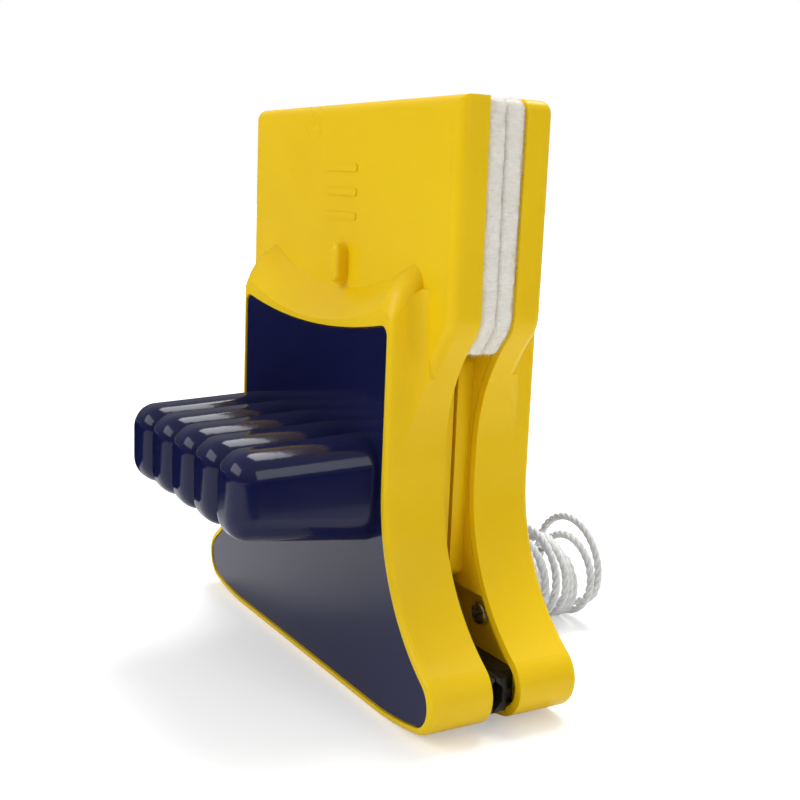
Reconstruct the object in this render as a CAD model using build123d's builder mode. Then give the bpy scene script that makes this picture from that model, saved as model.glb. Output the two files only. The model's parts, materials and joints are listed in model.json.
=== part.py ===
"""Magnetic glass cleaner: two halves that hold each other through a window pane.

The pane's middle plane stands upright at Y = GLASS_Y.  The inner half (finger grip) is on the
-Y side and the outer half (safety rope) on the +Y side.  Both use one shell moulding, turned half
a turn about Z.  Depths are measured from the pane's middle plane, away from the pane.  The origin
is the middle of the footprint of both halves, without the rope.
"""

from build123d import *
from math import atan2, degrees, pi, radians, tan
import os

# ---------------------------------------------------------------- driving dimensions, mm
HEIGHT = 145.0            # overall height of each half
WAIST = 42.3              # half width of the waist
WALL = 2.2                # moulded wall
GLASS_Y = 18.0            # pane's middle plane
FACE_DEPTH = 20.6         # outer face of the tower that carries the panel
PLATE_DEPTH = 12.6        # outer face of the thinner head plate
RIM_LOW = 3.8             # rim depth at the foot
RIM_HIGH = 5.2            # rim depth at the top of the head

FLARE_Z = 55.4            # where the waist starts to flare out
LOBE_X, LOBE_Z, LOBE_R = 58.3, 10.0, 8.0
FOOT_FLAT = 40.0          # half width of the flat that the half stands on

HEAD_HALF = 54.75         # half width of the head
HEAD_CORNER = 3.0
SHOULDER_Z, SHOULDER_R = 97.0, 9.0
NECK_Z = 64.0             # where the neck leaves the waist
TOWER_TOP = 112.0         # the tower's top before the scoop is cut
COVE_R = 4.0              # cove between the tower's side and the head plate
HORN_X = 37.4             # crest of each horn beside the scoop
# The scoop at three depths: depth, height in the middle, height of the horns.
SCOOP = ((FACE_DEPTH + 0.1, 91.0, 96.6), (18.4, 93.1, 102.0), (PLATE_DEPTH, 98.8, 107.2))

PANEL_INSET = 2.0
PANEL_THICK = 1.7
POCKET = 2.0              # depth of the panel's pocket
PANEL_TOP = 89.7          # top of the panel in the middle
PANEL_RISE = 3.9          # how much higher its corners are

PAD_LOW = 87.5            # bottom edge of the felt pad
PAD_DEPTH = 0.15          # felt face, from the pane's middle
TAPE = 0.4
COVER_THICK = 2.0
COVER_INSET = WALL + 0.25
STEP_Z = 30.0             # the cover is deeper below this height
FLOOR_DEPTH = 7.6         # the cover's deeper floor
BLOCK = (78.0, 56.0)      # magnet block, width and height
BLOCK_Z = 58.0
BLOCK_DEPTH = 0.5
MAGNET_R, MAGNET_THICK = 10.0, 7.5
MAGNET_DEPTH = 1.9
MAGNET_GRID = (36.0, 27.0)
YOKE_THICK = 1.5

BLADE_HALF = 61.5
BLADE_Z = 8.5
BLADE_TIP = 0.2
HOLDER = (116.0, 8.4)     # blade holder, width and height
HOLDER_FACE = 3.4
MARK_RIB = (18.0, 1.8)    # length and height of each rib on the head plate
MARK_Z, MARK_PITCH = 123.0, 6.0

FINGERS = 5
FINGER_PITCH = 15.0
FINGER = (16.8, 25.8, 7.2)    # width, height and corner radius at the panel
FINGER_END = (15.0, 20.2, 6.6)    # the same at the tip
FINGER_Z, FINGER_END_Z = 53.5, 54.3
FINGER_TIP = 56.0
FINGER_ROUND = 6.0
FINGER_WALL = 2.2

SCREW_R, SCREW_HEAD_R, SCREW_HEAD = 1.4, 2.8, 1.6
BOSS_R, PILOT_R = 3.5, 1.5
SEAT_BOSS_R, SEAT_BOSS_END = 4.6, 8.2     # thicker spots of the cover under the pad's screws
SEAT_HEAD = 6.7               # depth that the heads under the pad bear on
LOW_SCREWS = ((44.0, 22.0), (-44.0, 22.0))
HIGH_SCREWS = ((40.0, 118.0), (-40.0, 118.0))
BLADE_SCREWS = (-45.0, 0.0, 45.0)
GRIP_SCREWS = (-2 * FINGER_PITCH, 0.0, 2 * FINGER_PITCH)

EYE_X, EYE_Z = 3.0, 105.0     # rope eye on the head plate
EYE = (5.0, 10.0, 3.4)        # its width, height and how proud it stands
EYE_ROUND = 1.2
EYE_HOLE_R = 1.3              # drilled only on the half that carries the rope
EYE_HOLE_DEPTH = PLATE_DEPTH + 1.4

ROPE = 2.5                    # rope diameter
COIL_X, COIL_R = 4.0, 16.0
COIL_Y = (55.0, 87.0)
KNOT_R, KNOT_LONG = 3.1, 5.6
RING_X, RING_Y = -38.0, 74.0
RING_OUT, RING_IN, RING_THICK = 13.0, 9.0, 5.0
RING_NECK = 5.0               # collar that the rope's end is moulded into
ROPE_Z = ROPE / 2             # height of rope that lies on the floor

# Route of the rope from the knot, through the eye and down the back to the coil.
LEAD_ROUTE = (
    (-EYE_X - EYE[0] / 2, GLASS_Y + EYE_HOLE_DEPTH, EYE_Z),
    (4.5, GLASS_Y + EYE_HOLE_DEPTH, EYE_Z),
    (12.5, 38.0, 100.8),
    (17.0, 43.6, 89.0),
    (18.6, 43.0, 72.0),
    (17.4, 42.4, 50.0),
    (19.2, 42.6, 28.0),
    (18.6, 43.6, 11.0),
    (13.0, 47.6, 2.4),
    (5.4, COIL_Y[0], ROPE_Z),
)
# Route of the rope from the coil's foot to the finger ring.
TAIL_ROUTE = (
    (-1.5, 83.6, ROPE_Z),
    (-7.2, 80.6, ROPE_Z),
    (-12.2, 76.8, ROPE_Z),
    (-17.4, RING_Y, ROPE_Z),
    (RING_X + RING_OUT + 2.6, RING_Y, ROPE_Z),
)

INNER, OUTER = -1, 1          # side of the pane
PREFIX = {INNER: "inner", OUTER: "outer"}


# ---------------------------------------------------------------- planes
def flat_plane(side: int, depth: float) -> Plane:
    """Upright plane at a depth from the pane; its normal points away from the pane."""
    return Plane(origin=(0, GLASS_Y + side * depth, 0), x_dir=(-side, 0, 0), z_dir=(0, side, 0))


def rim_plane(side: int) -> Plane:
    """The slightly leaning plane of the rim."""
    return Plane(
        origin=(0, GLASS_Y + side * RIM_LOW, 0),
        x_dir=(-side, 0, 0),
        z_dir=(0, side * HEIGHT, RIM_LOW - RIM_HIGH),
    )


# ---------------------------------------------------------------- profiles
def tower_profile(inset: float = 0.0, top: float = TOWER_TOP) -> Sketch:
    """Foot lobes, flare and straight waist, with every wall moved in by the inset."""
    across, rise = LOBE_X - WAIST, FLARE_Z - LOBE_Z
    flare_r = (across**2 + rise**2 - LOBE_R**2) / (2 * (across + LOBE_R))
    flare_turn = degrees(atan2(rise, flare_r - across))
    out = LOBE_X - FOOT_FLAT
    foot_r = (out**2 + LOBE_Z**2 - LOBE_R**2) / (2 * (LOBE_Z - LOBE_R))
    foot_turn = degrees(atan2(out, foot_r - LOBE_Z))
    with BuildSketch() as profile:
        with BuildLine():
            Line((0, inset), (FOOT_FLAT, inset))
            CenterArc((FOOT_FLAT, foot_r), foot_r - inset, -90, foot_turn)
            CenterArc((LOBE_X, LOBE_Z), LOBE_R - inset, foot_turn - 90, 90 - foot_turn + flare_turn)
            CenterArc((WAIST + flare_r, FLARE_Z), flare_r + inset, 180, flare_turn)
            Line((WAIST - inset, FLARE_Z), (WAIST - inset, top))
            Line((WAIST - inset, top), (0, top))
            mirror(about=Plane.YZ)
        make_face()
    return profile.sketch


def head_profile(inset: float = 0.0, bottom: float = NECK_Z) -> Sketch:
    """Head with rounded shoulders that sweep down into the waist."""
    shoulder_x = HEAD_HALF - SHOULDER_R
    across, rise = shoulder_x - WAIST, SHOULDER_Z - NECK_Z
    neck_r = (across**2 + rise**2 - SHOULDER_R**2) / (2 * (across + SHOULDER_R))
    turn = degrees(atan2(rise, neck_r - across))
    side, top = HEAD_HALF - inset, HEIGHT - inset
    with BuildSketch() as profile:
        with BuildLine():
            Line((0, NECK_Z), (WAIST - inset, NECK_Z))
            CenterArc((WAIST + neck_r, NECK_Z), neck_r + inset, 180 - turn, turn)
            CenterArc((shoulder_x, SHOULDER_Z), SHOULDER_R - inset, -turn, turn)
            Line((side, SHOULDER_Z), (side, top))
            Line((side, top), (0, top))
            mirror(about=Plane.YZ)
        make_face()
        fillet(profile.vertices().group_by(Axis.Y)[-1].sort_by(Axis.X)[0::2], HEAD_CORNER - inset / 2)
        if bottom > NECK_Z:
            with Locations((0, bottom)):
                Rectangle(3 * HEAD_HALF, 2 * HEIGHT, align=(Align.CENTER, Align.MAX), mode=Mode.SUBTRACT)
    return profile.sketch


def panel_profile(inset: float) -> Sketch:
    """The glossy panel: the tower's outline with a hollow-arched top."""
    arch = ((WAIST - PANEL_INSET) ** 2 + PANEL_RISE**2) / (2 * PANEL_RISE)
    with BuildSketch() as profile:
        add(tower_profile(inset))
        with Locations((0, PANEL_TOP + arch + PANEL_INSET - inset)):
            Circle(arch, mode=Mode.SUBTRACT)
        with Locations((0, PANEL_TOP + 2 * PANEL_RISE)):
            Rectangle(3 * WAIST, HEIGHT, align=(Align.CENTER, Align.MIN), mode=Mode.SUBTRACT)
        fillet(profile.vertices().group_by(Axis.Y)[-1], 2.5)
    return profile.sketch


def scoop_profile(middle: float, horn: float) -> Sketch:
    """Everything above the scoop at one depth, with a rounded horn at each side."""
    arch = (HORN_X**2 + (horn - middle) ** 2) / (2 * (horn - middle))
    turn = degrees(atan2(HORN_X, arch - horn + middle))
    round_r = WAIST - HORN_X
    with BuildSketch() as profile:
        with BuildLine():
            CenterArc((0, middle + arch), arch, -90, turn)
            CenterArc((HORN_X, horn - round_r), round_r, 0, 90)
            Line((WAIST, horn - round_r), (1.5 * WAIST, horn - round_r))
            Line((1.5 * WAIST, horn - round_r), (1.5 * WAIST, HEIGHT))
            Line((1.5 * WAIST, HEIGHT), (0, HEIGHT))
            mirror(about=Plane.YZ)
        make_face()
    return profile.sketch


def mark_profile() -> Sketch:
    """Three short level ribs, a plain relief on the head plate."""
    with BuildSketch() as profile:
        with Locations(*[(0, MARK_Z + (i - 1) * MARK_PITCH) for i in range(3)]):
            SlotOverall(*MARK_RIB)
    return profile.sketch


# ---------------------------------------------------------------- parts of one half
def make_shell(side: int) -> Part:
    """Yellow shell, open to the pane: head plate, tower, scoop, eye lug and screw bosses."""
    with BuildPart() as cove:
        with BuildSketch(Plane.XY.offset(NECK_Z)):
            for sign in (-1, 1):
                corner = (sign * WAIST, GLASS_Y + side * PLATE_DEPTH)
                with Locations(corner):
                    Rectangle(COVE_R * 2, COVE_R * 2)
                with Locations((corner[0] + sign * COVE_R, corner[1] + side * COVE_R)):
                    Circle(COVE_R, mode=Mode.SUBTRACT)
                    Rectangle(COVE_R * 2, COVE_R * 2, mode=Mode.SUBTRACT, align=(
                        Align.CENTER, Align.MIN if side > 0 else Align.MAX))
        extrude(amount=TOWER_TOP - NECK_Z)
        with BuildSketch(flat_plane(side, 2 * WALL)):
            add(head_profile())
        extrude(amount=FACE_DEPTH, mode=Mode.INTERSECT)

    with BuildPart() as scoop:
        for depth, middle, horn in SCOOP:
            with BuildSketch(flat_plane(side, depth)):
                add(scoop_profile(middle, horn))
        loft()

    with BuildPart() as lug:
        with BuildSketch(flat_plane(side, PLATE_DEPTH - WALL / 2)):
            with Locations((EYE_X, EYE_Z)):
                RectangleRounded(EYE[0], EYE[1], 2.3)
        extrude(amount=WALL / 2 + EYE[2])
        fillet(lug.faces().sort_by(Axis.Y)[0 if side < 0 else -1].edges(), EYE_ROUND)

    with BuildPart() as tower:
        with BuildSketch(flat_plane(side, 0)):
            add(tower_profile())
        extrude(amount=FACE_DEPTH)
        crown = tower.faces().sort_by(Axis.Y)[0 if side < 0 else -1]
        fillet(crown.edges().filter_by(lambda edge: edge.center().Z < TOWER_TOP - 1), 1.4)

    with BuildPart() as shell:
        with BuildSketch(flat_plane(side, 0)):
            add(head_profile())
        extrude(amount=PLATE_DEPTH)
        plate_face = shell.faces().sort_by(Axis.Y)[0 if side < 0 else -1]
        rounded = plate_face.edges().filter_by(lambda edge: edge.center().Z > NECK_Z + 1)
        fillet(rounded, 2.6)
        add(tower.part)
        add(cove.part)
        add(scoop.part, mode=Mode.SUBTRACT)
        with BuildSketch(flat_plane(side, PLATE_DEPTH)):
            add(mark_profile())
        extrude(amount=0.35)
        add(lug.part)
        with BuildSketch(flat_plane(side, FACE_DEPTH - POCKET)):
            add(panel_profile(PANEL_INSET - 0.15))
        extrude(amount=2 * POCKET, mode=Mode.SUBTRACT)
        with BuildSketch(flat_plane(side, 0)):
            add(tower_profile(WALL, top=PAD_LOW))
        extrude(amount=FACE_DEPTH - POCKET - WALL, mode=Mode.SUBTRACT)
        with BuildSketch(flat_plane(side, 0)):
            add(head_profile(WALL))
        extrude(amount=PLATE_DEPTH - WALL, mode=Mode.SUBTRACT)
        with BuildSketch(flat_plane(side, FLOOR_DEPTH + COVER_THICK + 0.1)):
            with Locations(*LOW_SCREWS):
                Circle(BOSS_R)
        extrude(amount=FACE_DEPTH - POCKET - WALL - FLOOR_DEPTH - COVER_THICK)
        with BuildSketch(flat_plane(side, SEAT_BOSS_END + 0.1)):
            with Locations(*HIGH_SCREWS):
                Circle(BOSS_R)
        extrude(amount=PLATE_DEPTH - WALL - SEAT_BOSS_END)
        with BuildSketch(flat_plane(side, 0)):
            with Locations(*LOW_SCREWS):
                Circle(PILOT_R)
        extrude(amount=FACE_DEPTH - POCKET - 1.0, mode=Mode.SUBTRACT)
        with BuildSketch(flat_plane(side, 0)):
            with Locations(*HIGH_SCREWS):
                Circle(PILOT_R)
        extrude(amount=PLATE_DEPTH - 0.8, mode=Mode.SUBTRACT)
        if side == OUTER:
            eye_line = Plane(origin=(0, GLASS_Y + EYE_HOLE_DEPTH, EYE_Z), z_dir=(-1, 0, 0))
            with BuildSketch(eye_line):
                Circle(EYE_HOLE_R)
            extrude(amount=EYE_X + EYE[0], mode=Mode.SUBTRACT)
        else:
            with BuildSketch(flat_plane(side, 0)):
                with Locations(*[(x, FINGER_Z) for x in GRIP_SCREWS]):
                    Circle(PILOT_R)
            extrude(amount=FACE_DEPTH, mode=Mode.SUBTRACT)
        split(bisect_by=rim_plane(side), keep=Keep.TOP)
    return shell.part


def make_panel(side: int) -> Part:
    """Navy panel that fills the pocket in the tower's outer face."""
    with BuildPart() as panel:
        with BuildSketch(flat_plane(side, FACE_DEPTH - POCKET)):
            add(panel_profile(PANEL_INSET))
        extrude(amount=PANEL_THICK)
        outer = panel.faces().sort_by(Axis.Y)[0 if side < 0 else -1]
        chamfer(outer.edges(), 0.3)
        if side == INNER:
            with BuildSketch(flat_plane(side, 0)):
                with Locations(*[(x, FINGER_Z) for x in GRIP_SCREWS]):
                    Circle(PILOT_R)
            extrude(amount=FACE_DEPTH, mode=Mode.SUBTRACT)
    return panel.part


def make_grip() -> Part:
    """Navy handle of five rounded fingers side by side, cored from the panel's side."""
    base = FACE_DEPTH - POCKET + PANEL_THICK
    reach = FINGER_TIP - base
    core_end = FINGER_TIP - 3 * FINGER_WALL
    places = [(i - (FINGERS - 1) / 2) * FINGER_PITCH for i in range(FINGERS)]
    with BuildPart() as finger:
        for depth, section, height in ((base, FINGER, FINGER_Z), (FINGER_TIP, FINGER_END, FINGER_END_Z)):
            with BuildSketch(flat_plane(INNER, depth)):
                with Locations((0, height)):
                    RectangleRounded(*section)
        loft()
        fillet(finger.faces().sort_by(Axis.Y)[0].edges(), FINGER_ROUND)
    with BuildPart() as core:
        for depth, section, height in ((base, FINGER, FINGER_Z), (core_end, FINGER_END, FINGER_END_Z)):
            with BuildSketch(flat_plane(INNER, depth)):
                with Locations((0, height)):
                    RectangleRounded(*[size - 2 * FINGER_WALL for size in section[:2]], section[2] - FINGER_WALL)
        loft()
    with BuildPart() as grip:
        for x in places:
            with Locations((x, 0, 0)):
                add(finger.part)
        for x in places:
            with Locations((x, 0, 0)):
                add(core.part, mode=Mode.SUBTRACT)
        with BuildSketch(flat_plane(INNER, base)):
            with Locations(*[(x, FINGER_Z) for x in GRIP_SCREWS]):
                Circle(BOSS_R)
        extrude(amount=reach - 2 * FINGER_WALL)
        with BuildSketch(flat_plane(INNER, base)):
            with Locations(*[(x, FINGER_Z) for x in GRIP_SCREWS]):
                Circle(PILOT_R)
        extrude(amount=12.0, mode=Mode.SUBTRACT)
    return grip.part


def screw_group(side: int, places, head_depth: float, length: float, facing: int = 1) -> Part:
    """Cross-head screws as separate solids: heads towards the pane, or away from it if facing is -1."""
    with BuildPart() as screws:
        with BuildSketch(flat_plane(side, head_depth)):
            with Locations(*places):
                Circle(SCREW_HEAD_R)
        extrude(amount=-SCREW_HEAD * facing)
        crowns = screws.faces().filter_by(Axis.Y).group_by(Axis.Y)[-1 if side * facing < 0 else 0]
        fillet(crowns.edges(), 0.6)
        with BuildSketch(flat_plane(side, head_depth)):
            with Locations(*places):
                Circle(SCREW_R)
        extrude(amount=length * facing)
        with BuildSketch(flat_plane(side, head_depth - SCREW_HEAD * facing)):
            with Locations(*places):
                Rectangle(3.2, 0.7)
                Rectangle(0.7, 3.2)
        extrude(amount=0.9 * facing, mode=Mode.SUBTRACT)
    return screws.part


def magnet_places():
    """Centres of the four magnets."""
    across, up = MAGNET_GRID
    return [(sx * across / 2, BLOCK_Z + sz * up / 2) for sx in (-1, 1) for sz in (-1, 1)]


def make_cover(side: int) -> Part:
    """Yellow cover towards the pane: pad seat, magnet block and the deeper floor below it."""
    shelf = FLOOR_DEPTH + COVER_THICK
    with BuildPart() as cover:
        with BuildSketch(flat_plane(side, 0)):
            add(head_profile(COVER_INSET))
            add(tower_profile(COVER_INSET, top=NECK_Z + WALL))
        extrude(amount=RIM_LOW + shelf)
        split(bisect_by=rim_plane(side), keep=Keep.TOP)
        with BuildSketch(flat_plane(side, shelf)):
            Rectangle(4 * HEAD_HALF, 4 * HEIGHT)
        extrude(amount=FACE_DEPTH, mode=Mode.SUBTRACT)
        with BuildSketch(flat_plane(side, 0)):
            with Locations((0, STEP_Z - COVER_THICK)):
                Rectangle(4 * HEAD_HALF, HEIGHT, align=(Align.CENTER, Align.MAX))
        extrude(amount=FLOOR_DEPTH, mode=Mode.SUBTRACT)
        with BuildSketch(rim_plane(side).offset(COVER_THICK)):
            with Locations((0, STEP_Z)):
                Rectangle(4 * HEAD_HALF, 4 * HEIGHT, align=(Align.CENTER, Align.MIN))
        extrude(amount=FACE_DEPTH, mode=Mode.SUBTRACT)
        with BuildSketch(flat_plane(side, RIM_HIGH)):
            with Locations(*HIGH_SCREWS):
                Circle(SEAT_BOSS_R)
        extrude(amount=SEAT_BOSS_END - RIM_HIGH)
        with BuildSketch(flat_plane(side, BLOCK_DEPTH)):
            with Locations((0, BLOCK_Z)):
                RectangleRounded(BLOCK[0], BLOCK[1], 3)
        extrude(amount=MAGNET_DEPTH + MAGNET_THICK - BLOCK_DEPTH)
        with BuildSketch(flat_plane(side, MAGNET_DEPTH)):
            with Locations(*magnet_places()):
                Circle(MAGNET_R + 0.15)
        extrude(amount=FACE_DEPTH, mode=Mode.SUBTRACT)
        with BuildSketch(flat_plane(side, 0)):
            with Locations(*LOW_SCREWS, *HIGH_SCREWS, *[(x, BLADE_Z) for x in BLADE_SCREWS]):
                Circle(PILOT_R + 0.1)
        extrude(amount=FACE_DEPTH, mode=Mode.SUBTRACT)
        with BuildSketch(flat_plane(side, 0)):
            with Locations(*HIGH_SCREWS):
                Circle(SCREW_HEAD_R + 0.2)
        extrude(amount=SEAT_HEAD, mode=Mode.SUBTRACT)
    return cover.part


def make_magnets(side: int) -> Part:
    """Four disc magnets in the cover's pockets."""
    with BuildPart() as magnets:
        with BuildSketch(flat_plane(side, MAGNET_DEPTH)):
            with Locations(*magnet_places()):
                Circle(MAGNET_R)
        extrude(amount=MAGNET_THICK)
    return magnets.part


def make_yoke(side: int) -> Part:
    """Steel plate behind the magnets that closes their field."""
    with BuildPart() as yoke:
        with BuildSketch(flat_plane(side, MAGNET_DEPTH + MAGNET_THICK)):
            with Locations((0, BLOCK_Z)):
                RectangleRounded(BLOCK[0] - 6, BLOCK[1] - 4, 3)
        extrude(amount=YOKE_THICK)
    return yoke.part


def make_pad(side: int) -> Part:
    """White felt wiping pad on the head."""
    with BuildPart() as pad:
        with BuildSketch(flat_plane(side, PAD_DEPTH)):
            add(head_profile(0.6, bottom=PAD_LOW))
        extrude(amount=RIM_HIGH)
        split(bisect_by=rim_plane(side).offset(-TAPE), keep=Keep.BOTTOM)
    return pad.part


def make_tape(side: int) -> Part:
    """Double-sided tape that holds the pad to the cover and rim."""
    with BuildPart() as tape:
        with BuildSketch(rim_plane(side)):
            add(head_profile(1.2, bottom=PAD_LOW + 1))
        extrude(amount=-TAPE)
    return tape.part


def make_holder(side: int) -> Part:
    """Black blade holder, screwed to the cover's deeper floor, with a slot for the blade."""
    with BuildPart() as holder:
        with BuildSketch(flat_plane(side, HOLDER_FACE)):
            with Locations((0, BLADE_Z)):
                Rectangle(HOLDER[0], HOLDER[1])
        extrude(amount=FLOOR_DEPTH - HOLDER_FACE)
        with BuildSketch(flat_plane(side, HOLDER_FACE)):
            with Locations((0, BLADE_Z)):
                Rectangle(HOLDER[0], 2.4)
        extrude(amount=1.6, mode=Mode.SUBTRACT)
        with BuildSketch(flat_plane(side, HOLDER_FACE + 1.6)):
            with Locations(*[(x, BLADE_Z) for x in BLADE_SCREWS]):
                Circle(PILOT_R)
        extrude(amount=FACE_DEPTH, mode=Mode.SUBTRACT)
    return holder.part


def make_blade(side: int) -> Part:
    """Black rubber wiper with two lips towards the pane."""
    with BuildPart() as blade:
        with BuildSketch(Plane.YZ.offset(-BLADE_HALF)) as section:
            with Locations((GLASS_Y + side * (HOLDER_FACE - 0.6), BLADE_Z)):
                Rectangle(1.2, 8.2)
            with Locations((GLASS_Y + side * (HOLDER_FACE + 0.5), BLADE_Z)):
                Rectangle(1.6, 2.2)
            for lip in (-1, 1):
                root, tip = HOLDER_FACE - 1.2, BLADE_TIP
                with BuildLine():
                    Polyline(
                        (GLASS_Y + side * (root + 0.3), BLADE_Z + lip * 1.6),
                        (GLASS_Y + side * (root + 0.3), BLADE_Z + lip * 3.8),
                        (GLASS_Y + side * tip, BLADE_Z + lip * 4.4),
                        (GLASS_Y + side * tip, BLADE_Z + lip * 3.6),
                        close=True,
                    )
                make_face()
        extrude(amount=2 * BLADE_HALF)
    return blade.part


# ---------------------------------------------------------------- rope
def corner_radii(route) -> list:
    """Largest even arc for each corner: 0.45 of the shorter run over the tangent of half the turn."""
    points = [Vector(*point) for point in route]
    radii = []
    for before, here, after in zip(points, points[1:], points[2:]):
        run = min((here - before).length, (after - here).length)
        turn = (here - before).get_angle(after - here)
        radii.append(0.45 * run / tan(radians(turn / 2)))
    return radii


def make_tube(route, name: str) -> Part:
    """Plain rope: straight runs joined by tangent arcs."""
    radii = corner_radii(route)
    with BuildPart() as tube:
        with BuildLine() as path:
            FilletPolyline(*route, radius=radii)
        wire = path.wire()
        start = Plane(origin=wire @ 0, z_dir=wire % 0)
        with BuildSketch(start):
            Circle(ROPE / 2)
        sweep()
    ideal = wire.length * pi * (ROPE / 2) ** 2
    print(name, "length", round(wire.length, 1), "radii", [round(r, 1) for r in radii],
          "volume / section x length", round(tube.part.volume / ideal, 4))
    return tube.part


def make_knot() -> Part:
    """Stopper knot on the far side of the rope eye, flat where it bears on the eye."""
    bearing = Plane(
        origin=(-EYE_X - EYE[0] / 2, GLASS_Y + PLATE_DEPTH + KNOT_R + 0.1, EYE_Z), z_dir=(-1, 0, 0))
    with BuildPart() as knot:
        with BuildSketch(bearing):
            Circle(KNOT_R)
        extrude(amount=KNOT_LONG)
        fillet(knot.edges(), 2.0)
    return knot.part


def make_coil() -> Part:
    """Outer shape of the coil, which stands on its turns with its axis along Y."""
    with BuildPart() as coil:
        with BuildSketch(Plane(origin=(COIL_X, COIL_Y[0], COIL_R), z_dir=(0, 1, 0))):
            Circle(COIL_R)
        extrude(amount=COIL_Y[1] - COIL_Y[0])
    return coil.part


def make_ring() -> Part:
    """Finger ring at the rope's end, lying flat, with a collar for the rope."""
    with BuildPart() as ring:
        with BuildSketch():
            with Locations((RING_X, RING_Y)):
                Circle(RING_OUT)
        extrude(amount=RING_THICK)
        with Locations(Plane(origin=(RING_X + RING_OUT - 2, RING_Y, RING_THICK / 2), z_dir=(1, 0, 0))):
            Cylinder(RING_THICK / 2, RING_NECK + 2, align=(Align.CENTER, Align.CENTER, Align.MIN))
        with BuildSketch():
            with Locations((RING_X, RING_Y)):
                Circle(RING_IN)
        extrude(amount=RING_THICK, mode=Mode.SUBTRACT)
        rim = ring.edges().filter_by(GeomType.CIRCLE).filter_by(lambda edge: abs(edge.radius - RING_IN) < 0.01)
        fillet(rim, 1.2)
        with Locations(Plane(origin=(TAIL_ROUTE[-1][0], RING_Y, ROPE_Z), z_dir=(1, 0, 0))):
            Cylinder(ROPE / 2 + 0.05, RING_NECK, align=(Align.CENTER, Align.CENTER, Align.MIN), mode=Mode.SUBTRACT)
    return ring.part


# ---------------------------------------------------------------- assembly
pieces = {}
for side in (INNER, OUTER):
    half = PREFIX[side]
    pieces[half + "_shell"] = make_shell(side)
    pieces[half + "_panel"] = make_panel(side)
    pieces[half + "_magnet_cover"] = make_cover(side)
    pieces[half + "_magnets"] = make_magnets(side)
    pieces[half + "_yoke"] = make_yoke(side)
    pieces[half + "_pad"] = make_pad(side)
    pieces[half + "_pad_tape"] = make_tape(side)
    pieces[half + "_blade"] = make_blade(side)
    pieces[half + "_blade_holder"] = make_holder(side)
    pieces[half + "_cover_screws"] = screw_group(side, LOW_SCREWS, FLOOR_DEPTH, 9.0)
    pieces[half + "_pad_seat_screws"] = screw_group(side, HIGH_SCREWS, SEAT_HEAD, 4.6)
    pieces[half + "_blade_screws"] = screw_group(
        side, [(x, BLADE_Z) for x in BLADE_SCREWS], FLOOR_DEPTH + COVER_THICK, 4.4, facing=-1)
pieces["grip_handle"] = make_grip()
pieces["grip_screws"] = screw_group(
    INNER, [(x, FINGER_Z) for x in GRIP_SCREWS], FACE_DEPTH - POCKET - WALL, 13.0)
pieces["rope_knot"] = make_knot()
pieces["rope_lead"] = make_tube(LEAD_ROUTE, "rope_lead")
pieces["rope_coil"] = make_coil()
pieces["rope_tail"] = make_tube(TAIL_ROUTE, "rope_tail")
pieces["finger_ring"] = make_ring()

os.makedirs("parts", exist_ok=True)
for name, piece in pieces.items():
    piece.label = name
    export_step(piece, f"parts/{name}.step")
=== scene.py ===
"""Looks of the magnetic glass cleaner: plastics, felt pads, twisted rope, studio and camera.

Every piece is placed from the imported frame, in metres.  The pane between the halves stands upright
across Y; the half with the finger grip is on the -Y side and the rope's half on the +Y side.
"""
import bpy
import bmesh
import json
from math import cos, pi, radians, sin, tau
from mathutils import Matrix, Vector, noise
from random import Random


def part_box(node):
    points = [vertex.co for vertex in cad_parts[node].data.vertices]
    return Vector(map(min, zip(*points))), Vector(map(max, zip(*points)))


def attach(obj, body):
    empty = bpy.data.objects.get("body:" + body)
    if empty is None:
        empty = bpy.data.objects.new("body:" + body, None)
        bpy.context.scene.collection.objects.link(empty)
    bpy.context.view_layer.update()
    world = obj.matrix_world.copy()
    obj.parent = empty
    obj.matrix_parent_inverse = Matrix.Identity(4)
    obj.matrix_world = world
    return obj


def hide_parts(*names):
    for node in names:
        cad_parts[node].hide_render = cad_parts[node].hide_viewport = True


MM = 0.001

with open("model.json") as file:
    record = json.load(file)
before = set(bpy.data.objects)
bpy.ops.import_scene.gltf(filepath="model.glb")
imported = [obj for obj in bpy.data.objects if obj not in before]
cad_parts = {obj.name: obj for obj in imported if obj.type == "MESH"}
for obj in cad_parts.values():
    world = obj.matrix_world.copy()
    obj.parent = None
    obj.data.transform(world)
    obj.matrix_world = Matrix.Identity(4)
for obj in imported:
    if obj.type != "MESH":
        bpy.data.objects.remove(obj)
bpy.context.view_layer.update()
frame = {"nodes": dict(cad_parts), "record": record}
nodes = frame["nodes"]
scene = bpy.context.scene


# ---------------------------------------------------------------- camera
YAW, PITCH, ROLL = radians(59.22), radians(10.09), radians(2.33)
CAMERA_PLACE = Vector((0.27336, -0.13718, 0.12436))
LENS, SENSOR = 53.46, 36.0


def make_camera():
    """Camera at the product view: from the right of the grip half, a little above."""
    forward = Vector((-sin(YAW) * cos(PITCH), cos(YAW) * cos(PITCH), -sin(PITCH)))
    right = Vector((cos(YAW), sin(YAW), 0))
    up = right.cross(forward)
    tilted_right = cos(ROLL) * right + sin(ROLL) * up
    tilted_up = cos(ROLL) * up - sin(ROLL) * right
    data = bpy.data.cameras.new("camera")
    data.lens, data.sensor_width = LENS, SENSOR
    data.clip_start, data.clip_end = 0.01, 50
    camera = bpy.data.objects.new("camera", data)
    turn = Matrix((tilted_right, tilted_up, -forward)).transposed()
    camera.matrix_world = Matrix.Translation(CAMERA_PLACE) @ turn.to_4x4()
    scene.collection.objects.link(camera)
    scene.camera = camera


make_camera()


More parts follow.
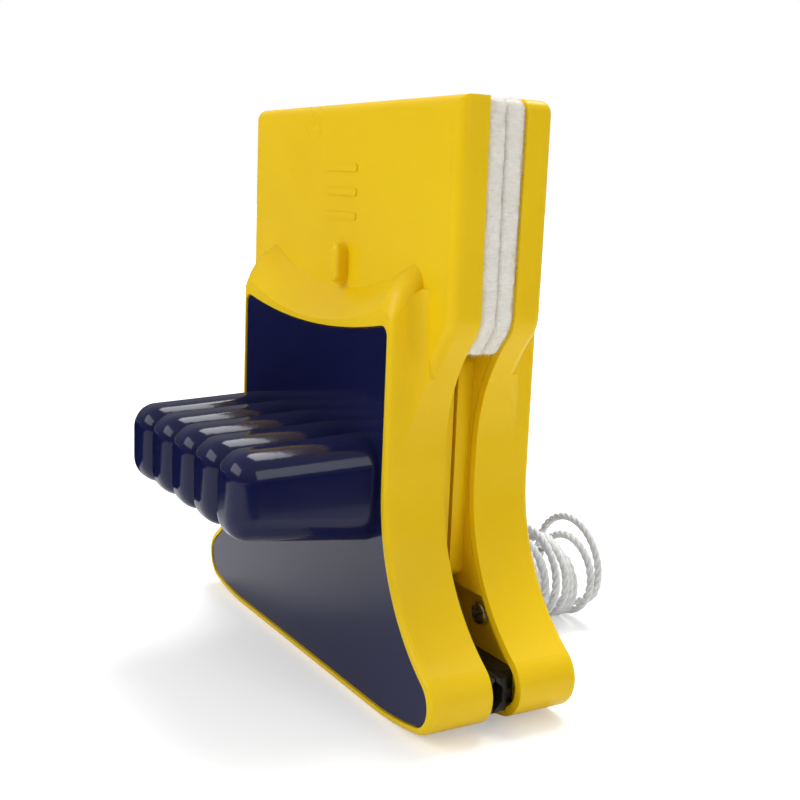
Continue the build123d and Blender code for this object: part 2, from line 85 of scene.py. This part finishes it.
# ---------------------------------------------------------------- node helpers
class Material:
    """A material with a Principled shader and short ways to add procedural detail."""

    def __init__(self, name, **sockets):
        self.material = bpy.data.materials.new(name)
        self.material.use_nodes = True
        self.tree = self.material.node_tree
        self.shader = self.tree.nodes["Principled BSDF"]
        self.place = self.tree.nodes.new("ShaderNodeTexCoord").outputs["Object"]
        for socket, value in sockets.items():
            self.shader.inputs[socket.replace("_", " ")].default_value = value

    def node(self, kind, **settings):
        made = self.tree.nodes.new("ShaderNode" + kind)
        for key, value in settings.items():
            setattr(made, key, value)
        return made

    def noise(self, per_metre, detail=3.0, rough=0.5, stretch=(1, 1, 1)):
        """Noise value with a given number of cells per metre."""
        mapping = self.node("Mapping")
        mapping.inputs["Scale"].default_value = stretch
        self.tree.links.new(self.place, mapping.inputs["Vector"])
        made = self.node("TexNoise")
        made.inputs["Scale"].default_value = per_metre
        made.inputs["Detail"].default_value = detail
        made.inputs["Roughness"].default_value = rough
        self.tree.links.new(mapping.outputs["Vector"], made.inputs["Vector"])
        return made.outputs["Fac"]

    def ramp(self, value, stops):
        """Colour ramp over a value; stops are (position, colour)."""
        made = self.node("ValToRGB")
        elements = made.color_ramp.elements
        while len(elements) < len(stops):
            elements.new(0.5)
        for element, (position, colour) in zip(elements, stops):
            element.position = position
            element.color = (*colour, 1)
        self.tree.links.new(value, made.inputs["Fac"])
        return made.outputs["Color"]

    def span(self, value, low, high):
        """Map a 0 to 1 value to low to high."""
        made = self.node("MapRange")
        made.inputs["From Min"].default_value = 0.3
        made.inputs["From Max"].default_value = 0.7
        made.inputs["To Min"].default_value = low
        made.inputs["To Max"].default_value = high
        self.tree.links.new(value, made.inputs["Value"])
        return made.outputs["Result"]

    def wire(self, value, socket):
        self.tree.links.new(value, self.shader.inputs[socket])

    def bump(self, value, height, strength=1.0):
        made = self.node("Bump")
        made.inputs["Distance"].default_value = height
        made.inputs["Strength"].default_value = strength
        previous = self.shader.inputs["Normal"].links
        if previous:
            self.tree.links.new(previous[0].from_socket, made.inputs["Normal"])
        self.tree.links.new(value, made.inputs["Height"])
        self.wire(made.outputs["Normal"], "Normal")


# ---------------------------------------------------------------- materials
def yellow_plastic():
    made = Material("yellow_plastic", Specular_IOR_Level=0.22, IOR=1.46, Coat_Weight=0.04,
                    Coat_Roughness=0.18, Subsurface_Weight=0.12, Subsurface_Scale=0.004,
                    Subsurface_Radius=(1.0, 0.5, 0.05))
    tone = made.noise(22, detail=2)
    made.wire(made.ramp(tone, [(0.3, (0.86, 0.56, 0.004)), (0.7, (0.90, 0.60, 0.006))]), "Base Color")
    made.wire(made.span(made.noise(60, detail=4), 0.27, 0.37), "Roughness")
    made.bump(made.noise(2600, detail=2), 0.00001, 0.35)
    made.bump(made.noise(45, detail=1), 0.00012, 0.25)
    return made.material


def navy_plastic():
    made = Material("navy_plastic", Specular_IOR_Level=0.22, IOR=1.48, Coat_Weight=0.2,
                    Coat_Roughness=0.05)
    tone = made.noise(18, detail=2)
    made.wire(made.ramp(tone, [(0.3, (0.006, 0.008, 0.046)), (0.7, (0.008, 0.010, 0.056))]), "Base Color")
    made.wire(made.span(made.noise(90, detail=5), 0.10, 0.19), "Roughness")
    made.bump(made.noise(30, detail=1), 0.0002, 0.12)
    made.bump(made.noise(1800, detail=3), 0.000006, 0.3)
    return made.material


def felt():
    made = Material("white_felt", Specular_IOR_Level=0.15, Sheen_Weight=0.7, Sheen_Roughness=0.5,
                    Sheen_Tint=(1.0, 0.96, 0.88, 1.0), Roughness=0.95, Subsurface_Weight=0.1,
                    Subsurface_Scale=0.002)
    fibres = made.noise(900, detail=6, rough=0.7, stretch=(1.0, 0.5, 1.6))
    made.wire(made.ramp(fibres, [(0.3, (0.90, 0.85, 0.76)), (0.62, (0.99, 0.96, 0.89))]), "Base Color")
    made.bump(fibres, 0.0004, 0.8)
    made.bump(made.noise(220, detail=3), 0.0006, 0.5)
    return made.material


def rubber():
    made = Material("black_rubber", Specular_IOR_Level=0.4)
    dust = made.noise(300, detail=5)
    made.wire(made.ramp(dust, [(0.35, (0.012, 0.012, 0.012)), (0.75, (0.03, 0.03, 0.029))]), "Base Color")
    made.wire(made.span(made.noise(150), 0.45, 0.65), "Roughness")
    made.bump(made.noise(1500, detail=2), 0.00002, 0.5)
    return made.material


def black_plastic():
    made = Material("black_plastic", Specular_IOR_Level=0.45)
    made.wire(made.ramp(made.noise(60), [(0.3, (0.014, 0.014, 0.015)), (0.7, (0.024, 0.024, 0.026))]),
              "Base Color")
    made.wire(made.span(made.noise(120), 0.35, 0.5), "Roughness")
    made.bump(made.noise(2000), 0.00001, 0.5)
    return made.material


def metal(name, tone, rough, grain):
    """Plated or zinc steel with brushed scratches; grain is how many per metre."""
    made = Material(name, Metallic=1.0)
    scratch = made.noise(grain, detail=5, stretch=(1, 1, 12))
    darker = tuple(0.7 * channel for channel in tone)
    made.wire(made.ramp(scratch, [(0.3, darker), (0.7, tone)]), "Base Color")
    made.wire(made.span(scratch, rough - 0.08, rough + 0.12), "Roughness")
    made.bump(scratch, 0.00002, 0.4)
    return made.material


def rope_fibre():
    made = Material("white_rope", Specular_IOR_Level=0.3, Sheen_Weight=0.3, Roughness=0.6,
                    Subsurface_Weight=0.15, Subsurface_Scale=0.0015)
    threads = made.noise(2200, detail=4)
    made.wire(made.ramp(threads, [(0.3, (0.90, 0.89, 0.87)), (0.7, (0.98, 0.98, 0.97))]), "Base Color")
    made.bump(threads, 0.0001, 0.5)
    return made.material


def tape():
    made = Material("white_tape", Roughness=0.7)
    made.wire(made.ramp(made.noise(200), [(0.3, (0.7, 0.69, 0.65)), (0.7, (0.8, 0.79, 0.75))]), "Base Color")
    made.bump(made.noise(900), 0.00003, 0.4)
    return made.material


MATERIALS = {
    "yellow_plastic": yellow_plastic(),
    "navy_plastic": navy_plastic(),
    "white_felt": felt(),
    "black_rubber": rubber(),
    "black_plastic": black_plastic(),
    "magnet_nickel": metal("magnet_nickel", (0.68, 0.66, 0.62), 0.2, 400),
    "zinc_steel": metal("zinc_steel", (0.5, 0.51, 0.52), 0.35, 300),
    "screw_steel": metal("screw_steel", (0.60, 0.60, 0.58), 0.28, 900),
    "white_rope": rope_fibre(),
    "white_tape": tape(),
}


def dress_nodes():
    """Give every CAD node the material of its slot."""
    for part in frame["record"]["subparts"]:
        data = nodes[part["node"]].data
        material = MATERIALS[part["material_slot"]]
        if not data.materials:
            data.materials.append(material)
        for index in range(len(data.materials)):
            data.materials[index] = material


dress_nodes()


# ---------------------------------------------------------------- piece helpers
def add_piece(name, mesh, slot, body):
    """Link a mesh as a piece that rides on a body and takes its finish from a slot."""
    piece = bpy.data.objects.new(name, mesh)
    scene.collection.objects.link(piece)
    mesh.materials.append(MATERIALS[slot])
    mesh.shade_smooth()
    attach(piece, body)
    return piece


# ---------------------------------------------------------------- safety rope
ROPE = 2.5 * MM
STRANDS = 3
STRAND_R = 0.29 * ROPE
LAY_LENGTH = 7.5 * MM         # one full twist of the strands
COIL_X, COIL_START, COIL_END = 4.0, 56.6, 85.4
POINTS_PER_TURN = 14
ROPE_STEP, KNOT_STEP = 0.85 * MM, 0.5 * MM      # spacing of the rings along a strand
KNOT_SIZE, KNOT_STEPS = 0.72 * MM, 90
TURN_RADII = (13.4, 12.2, 14.0, 11.6, 13.0, 14.2, 11.2, 12.8, 10.2, 9.4, 14.3)

# The rope's route in millimetres, the same points as the model's lead and tail.
LEAD_ROUTE = (
    (-5.5, 32.0, 105.0), (4.5, 32.0, 105.0), (12.5, 38.0, 100.8), (17.0, 43.6, 89.0),
    (18.6, 43.0, 72.0), (17.4, 42.4, 50.0), (19.2, 42.6, 28.0), (18.6, 43.6, 11.0),
    (13.0, 47.6, 2.4), (5.4, 55.0, 1.25),
)
TAIL_ROUTE = (
    (-1.5, 83.6, 1.25), (-7.2, 80.6, 1.25), (-12.2, 76.8, 1.25), (-17.4, 74.0, 1.25),
    (-22.4, 74.0, 1.25),
)


def coil_points():
    """Loose turns that stand on the floor side by side, each with its own size and lean."""
    chooser = Random(5)
    points = []
    total = len(TURN_RADII) * POINTS_PER_TURN
    leans = [chooser.uniform(-0.5, 0.5) for _ in range(len(TURN_RADII) + 1)]
    for step in range(2, total - 1):
        turn, share = divmod(step / POINTS_PER_TURN, 1.0)
        turn = int(turn)
        following = min(turn + 1, len(TURN_RADII) - 1)
        blend = share * share * (3 - 2 * share)
        radius = TURN_RADII[turn] * (1 - blend) + TURN_RADII[following] * blend
        lean = leans[turn] * (1 - blend) + leans[turn + 1] * blend
        angle = tau * share
        along = COIL_START + (COIL_END - COIL_START) * step / total
        points.append((
            COIL_X + lean - radius * sin(angle),
            along + 0.12 * sin(3 * angle),
            ROPE / MM / 2 + radius * (1 - cos(angle)),
        ))
    return points


def route_curve():
    """The whole rope as one smooth curve without thickness."""
    route = [*LEAD_ROUTE, *coil_points(), *TAIL_ROUTE]
    data = bpy.data.curves.new("rope_route", "CURVE")
    data.dimensions = "3D"
    data.resolution_u = 6
    spline = data.splines.new("NURBS")
    spline.points.add(len(route) - 1)
    for point, place in zip(spline.points, route):
        point.co = (*(MM * value for value in place), 1)
    spline.order_u = 3
    spline.use_endpoint_u = True
    return data


def read_curve(data):
    """Points along a curve that has no bevel."""
    holder = bpy.data.objects.new("route", data)
    scene.collection.objects.link(holder)
    mesh = bpy.data.meshes.new_from_object(holder)
    points = [vertex.co.copy() for vertex in mesh.vertices]
    bpy.data.objects.remove(holder)
    bpy.data.meshes.remove(mesh)
    return points


def even_points(points, gap):
    """The same line with points about one gap apart."""
    lengths = [0.0]
    for before, after in zip(points, points[1:]):
        lengths.append(lengths[-1] + (after - before).length)
    count = max(2, round(lengths[-1] / gap))
    even, index = [], 0
    for step in range(count + 1):
        target = lengths[-1] * step / count
        while index < len(points) - 2 and lengths[index + 1] < target:
            index += 1
        share = (target - lengths[index]) / max(lengths[index + 1] - lengths[index], 1e-9)
        even.append(points[index].lerp(points[index + 1], min(share, 1.0)))
    return even, lengths[-1]


def strand_tubes(path, length, sides=7):
    """Strands twisted round a path, as one mesh of closed tubes."""
    mesh = bmesh.new()
    normal = Vector((0, 0, 1)).cross(path[1] - path[0]).normalized()
    frames = []
    for index, here in enumerate(path):
        ahead = path[min(index + 1, len(path) - 1)] - path[max(index - 1, 0)]
        ahead.normalize()
        normal = (normal - ahead * normal.dot(ahead)).normalized()
        frames.append((here, normal.copy(), ahead.cross(normal)))
    gap = length / (len(path) - 1)
    offset = ROPE / 2 - STRAND_R
    for strand in range(STRANDS):
        rings = []
        for index, (here, across, up) in enumerate(frames):
            twist = tau * (strand / STRANDS + index * gap / LAY_LENGTH)
            centre = here + offset * (cos(twist) * across + sin(twist) * up)
            ring = []
            for side in range(sides):
                around = tau * side / sides + twist
                ring.append(mesh.verts.new(centre + STRAND_R * (cos(around) * across + sin(around) * up)))
            rings.append(ring)
        for low, high in zip(rings, rings[1:]):
            for side in range(sides):
                after = (side + 1) % sides
                mesh.faces.new((low[side], low[after], high[after], high[side]))
        mesh.faces.new(reversed(rings[0]))
        mesh.faces.new(rings[-1])
    return mesh


def finish_mesh(made, name):
    """Turn a bmesh into mesh data with outward normals."""
    bmesh.ops.recalc_face_normals(made, faces=made.faces)
    data = bpy.data.meshes.new(name)
    made.to_mesh(data)
    made.free()
    return data


def make_rope():
    path, length = even_points(read_curve(route_curve()), ROPE_STEP)
    rope = add_piece("safety_rope", finish_mesh(strand_tubes(path, length), "safety_rope"),
                     "white_rope", "outer_half")
    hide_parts("rope_lead", "rope_coil", "rope_tail")
    return rope, path, length


def make_knot():
    """Overhand stopper knot at the eye, as twisted strands along a trefoil."""
    low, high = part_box("rope_knot")
    centre = (Vector(low) + Vector(high)) / 2
    points = []
    for step in range(KNOT_STEPS):
        t = tau * step / KNOT_STEPS
        points.append(centre + Vector((
            -KNOT_SIZE * 1.1 * sin(3 * t),
            KNOT_SIZE * (sin(t) + 2 * sin(2 * t)) * 0.85,
            KNOT_SIZE * (cos(t) - 2 * cos(2 * t)) * 0.85,
        )))
    points.append(points[0].copy())
    path, length = even_points(points, KNOT_STEP)
    knot = add_piece("stopper_knot", finish_mesh(strand_tubes(path, length), "stopper_knot"),
                     "white_rope", "outer_half")
    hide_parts("rope_knot")
    return knot


rope, rope_path, rope_length = make_rope()
knot = make_knot()


# ---------------------------------------------------------------- felt pads
VOXEL = 0.8 * MM
FELT_SWELL = 0.55 * MM
FELT_GAP, FIBRE_GAP = 0.05 * MM, 0.02 * MM      # kept clear of the plane between the pads
FIBRE_HALF_WIDTH = 0.045 * MM
EDGE_FIBRES, FACE_FIBRES = 11000, 5000
PANE = sum((Vector(corner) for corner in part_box("inner_pad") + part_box("outer_pad")), Vector()).y / 4


def softened(mesh):
    """The mesh remeshed to small even faces, with its corners rounded."""
    holder = bpy.data.objects.new("soften", mesh)
    scene.collection.objects.link(holder)
    remesh = holder.modifiers.new("remesh", "REMESH")
    remesh.mode, remesh.voxel_size = "VOXEL", VOXEL
    smooth = holder.modifiers.new("smooth", "SMOOTH")
    smooth.factor, smooth.iterations = 0.5, 2
    result = bpy.data.meshes.new_from_object(holder.evaluated_get(bpy.context.evaluated_depsgraph_get()))
    bpy.data.objects.remove(holder)
    return result


def ruffle(mesh, side):
    """Uneven felt surface: lumps and pulled fibres, kept off the pane's middle."""
    normals = [vertex.normal.copy() for vertex in mesh.vertices]
    for vertex, normal in zip(mesh.vertices, normals):
        place = vertex.co
        lump = noise.noise(place * 160) * 0.6 + noise.noise(place * 480) * 0.5
        lump += abs(noise.noise(place * 1400)) * 0.5
        rim = 1.0 - abs(normal.y)
        vertex.co = place + normal * FELT_SWELL * (0.35 + lump) * (0.45 + 0.75 * rim)
        depth = side * (vertex.co.y - PANE)
        if depth < FELT_GAP:
            vertex.co.y = PANE + side * FELT_GAP


def add_fibres(mesh, side):
    """Fine loose fibres that stand out of the felt's rim and lie on its faces."""
    chooser = Random(11 + side)
    made = bmesh.new()
    made.from_mesh(mesh)
    made.faces.ensure_lookup_table()
    roots = {True: [], False: []}
    for face in made.faces:
        roots[abs(face.normal.y) < 0.75].append((face.calc_center_median(), face.normal.copy()))
    for on_rim, count in ((True, EDGE_FIBRES), (False, FACE_FIBRES)):
        for _ in range(count):
            root, normal = chooser.choice(roots[on_rim])
            wander = Vector([chooser.gauss(0, 1) for _ in range(3)]).normalized()
            if on_rim:
                way = (normal * 0.8 + wander).normalized()
                long = chooser.uniform(0.4, 1.15) * MM
            else:
                way = (wander - normal * wander.dot(normal)).normalized()
                long = chooser.uniform(0.8, 2.2) * MM
                root = root + normal * 0.03 * MM
            wide = way.cross(normal).normalized() * FIBRE_HALF_WIDTH
            bend = Vector([chooser.gauss(0, 0.16) for _ in range(3)]) * long
            start = root - normal * 0.1 * MM
            line = [start, start + way * long * 0.55 + bend * 0.5, start + way * long + bend]
            for point in line:
                if side * (point.y - PANE) < FIBRE_GAP:
                    point.y = PANE + side * FIBRE_GAP
            low = [made.verts.new(line[0] - wide), made.verts.new(line[0] + wide)]
            middle = [made.verts.new(line[1] + wide * 0.8), made.verts.new(line[1] - wide * 0.8)]
            made.faces.new((*low, *middle))
            made.faces.new((middle[1], middle[0], made.verts.new(line[2])))
    made.to_mesh(mesh)
    made.free()


def make_pad(half, side):
    """White felt pad over its CAD solid."""
    mesh = softened(nodes[half + "_pad"].data.copy())
    mesh.name = half + "_felt"
    mesh.materials.clear()
    ruffle(mesh, side)
    add_fibres(mesh, side)
    felt_pad = add_piece(half + "_felt", mesh, "white_felt", half + "_half")
    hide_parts(half + "_pad")


make_pad("inner", -1)
make_pad("outer", 1)


# ---------------------------------------------------------------- studio
FLOOR_HALF = 6.0
WHITE_FROM, WHITE_TO = 0.25, 1.1      # distance over which the paper fades to plain white
PAPER_GLOW = 0.34                     # its glow beside the object
SKY_LOW, SKY_HIGH = 0.10, 0.55        # strength of the sky at the horizon and well above it


def make_floor():
    """Pale paper floor.  To the camera it fades to plain white away from the object."""
    made = bmesh.new()
    bmesh.ops.create_grid(made, x_segments=1, y_segments=1, size=FLOOR_HALF)
    floor = bpy.data.objects.new("floor", finish_mesh(made, "floor"))
    paper = Material("paper", Roughness=0.7, Specular_IOR_Level=0.1, Emission_Color=(1, 1, 1, 1))
    paper.wire(paper.ramp(paper.noise(3), [(0.3, (0.86, 0.86, 0.86)), (0.7, (0.88, 0.88, 0.88))]),
               "Base Color")
    distance = paper.node("VectorMath", operation="LENGTH")
    paper.tree.links.new(paper.place, distance.inputs[0])
    fade = paper.node("MapRange", interpolation_type="SMOOTHSTEP")
    fade.inputs["From Min"].default_value = WHITE_FROM
    fade.inputs["From Max"].default_value = WHITE_TO
    fade.inputs["To Min"].default_value = PAPER_GLOW
    fade.inputs["To Max"].default_value = 1.0
    paper.tree.links.new(distance.outputs["Value"], fade.inputs["Value"])
    seen = paper.node("LightPath")
    glow = paper.node("Math", operation="MULTIPLY")
    paper.tree.links.new(fade.outputs["Result"], glow.inputs[0])
    paper.tree.links.new(seen.outputs["Is Camera Ray"], glow.inputs[1])
    paper.wire(glow.outputs["Value"], "Emission Strength")
    floor.data.materials.append(paper.material)
    scene.collection.objects.link(floor)


def add_light(name, place, target, size, power):
    """White rectangular light aimed at a point."""
    data = bpy.data.lights.new(name, "AREA")
    data.shape = "RECTANGLE"
    data.size, data.size_y = size
    data.energy = power
    light = bpy.data.objects.new(name, data)
    place, target = Vector(place), Vector(target)
    light.rotation_euler = (target - place).to_track_quat("-Z", "Y").to_euler()
    light.location = place
    scene.collection.objects.link(light)


def add_flag(name, place, size):
    """Black card lying level, seen only in reflections, as a photographer's flag."""
    made = bmesh.new()
    bmesh.ops.create_grid(made, x_segments=1, y_segments=1, size=0.5)
    flag = bpy.data.objects.new(name, finish_mesh(made, name))
    black = Material(name, Base_Color=(0.004, 0.004, 0.005, 1), Roughness=1.0, Specular_IOR_Level=0.0)
    flag.data.materials.append(black.material)
    flag.location, flag.scale = place, (*size, 1)
    flag.visible_camera = flag.visible_diffuse = flag.visible_shadow = False
    scene.collection.objects.link(flag)


def make_world():
    """White studio: plain white to the camera, and as light dark at the horizon and bright above."""
    world = bpy.data.worlds.new("studio")
    world.use_nodes = True
    tree = world.node_tree
    background = tree.nodes["Background"]
    background.inputs["Color"].default_value = (1, 1, 1, 1)
    direction = tree.nodes.new("ShaderNodeTexCoord")
    height = tree.nodes.new("ShaderNodeSeparateXYZ")
    tree.links.new(direction.outputs["Generated"], height.inputs["Vector"])
    sky = tree.nodes.new("ShaderNodeMapRange")
    sky.inputs["From Min"].default_value = 0.0
    sky.inputs["From Max"].default_value = 0.8
    sky.inputs["To Min"].default_value = SKY_LOW
    sky.inputs["To Max"].default_value = SKY_HIGH
    tree.links.new(height.outputs["Z"], sky.inputs["Value"])
    path = tree.nodes.new("ShaderNodeLightPath")
    strength = tree.nodes.new("ShaderNodeMix")
    strength.inputs["B"].default_value = 1.0
    tree.links.new(path.outputs["Is Camera Ray"], strength.inputs["Factor"])
    tree.links.new(sky.outputs["Result"], strength.inputs["A"])
    tree.links.new(strength.outputs["Result"], background.inputs["Strength"])
    scene.world = world


make_floor()
make_world()
add_flag("flag_left", (-0.76, -0.75, 0.002), (1.25, 1.5))
add_flag("flag_right", (0.85, 0.30, 0.002), (1.3, 1.2))
add_light("key", (-0.15, -1.2, 0.85), (0, 0, 0.08), (1.3, 0.7), 9.5)
add_light("top", (-0.25, 0.40, 1.0), (0, 0, 0.05), (0.7, 0.55), 9.0)
add_light("right", (0.95, 0.30, 0.50), (0, 0, 0.06), (0.35, 0.6), 1.7)
scene.view_settings.view_transform = "Standard"
